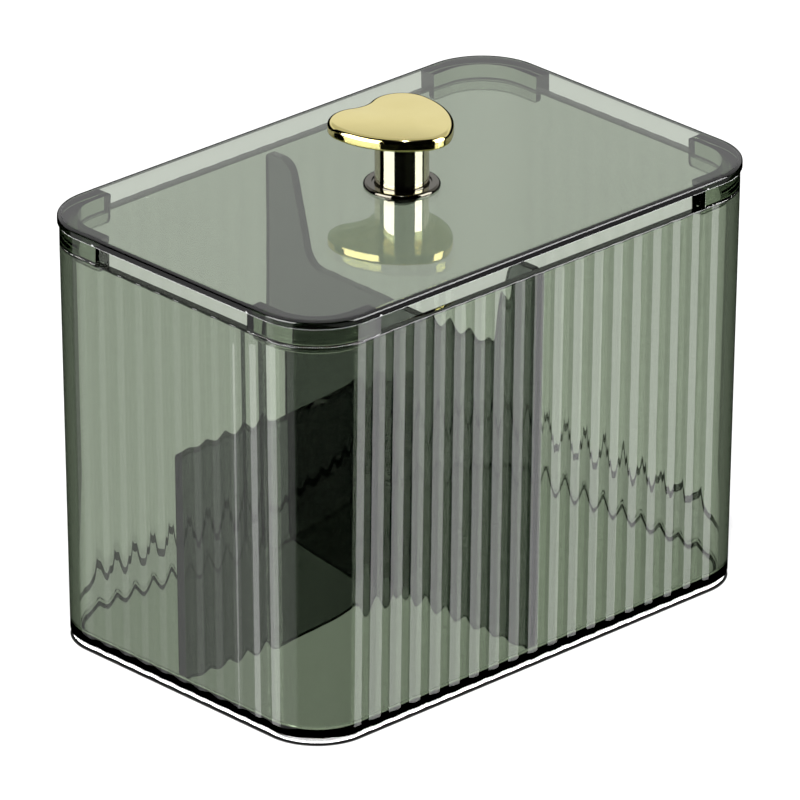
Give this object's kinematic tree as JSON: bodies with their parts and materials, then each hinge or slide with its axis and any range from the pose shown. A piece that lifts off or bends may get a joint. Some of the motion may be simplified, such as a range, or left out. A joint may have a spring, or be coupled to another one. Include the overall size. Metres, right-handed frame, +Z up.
{
  "type": "cotton swab holder",
  "caption": "Rectangular fluted clear box for cotton swabs and pads, with upright dividers and a lift-off lid on corner feet with a heart-shaped metal knob.",
  "frame": {"origin": "middle of the base, on the surface that the box stands on", "axes": "+X along the long side, away from the half divider; +Y across the box, away from the heart's tip; +Z up"},
  "size_m": [0.1452, 0.0952, 0.1224],
  "materials": {
    "tinted_plastic": "clear green-grey tinted plastic, glossy",
    "lid_plastic": "clear green-grey tinted plastic, glossy",
    "smoky_plastic": "clear smoke-grey tinted plastic, glossy",
    "knob_metal": "polished pale gold plating",
    "steel": "zinc-plated, satin"
  },
  "bodies": {
    "box": {"box_shell": "tinted_plastic", "cross_divider": "smoky_plastic", "half_divider": "smoky_plastic"},
    "lid": {"lid": "lid_plastic", "knob_collar": "knob_metal", "knob_stem": "knob_metal", "knob_cap": "knob_metal", "screw_washer": "steel", "knob_screw": "steel"}
  },
  "joints": [
    {"name": "lid_lift", "type": "slide", "parent": "box", "child": "lid", "axis": [0, 0, 1], "range_m": [0, 0.15]}
  ]
}
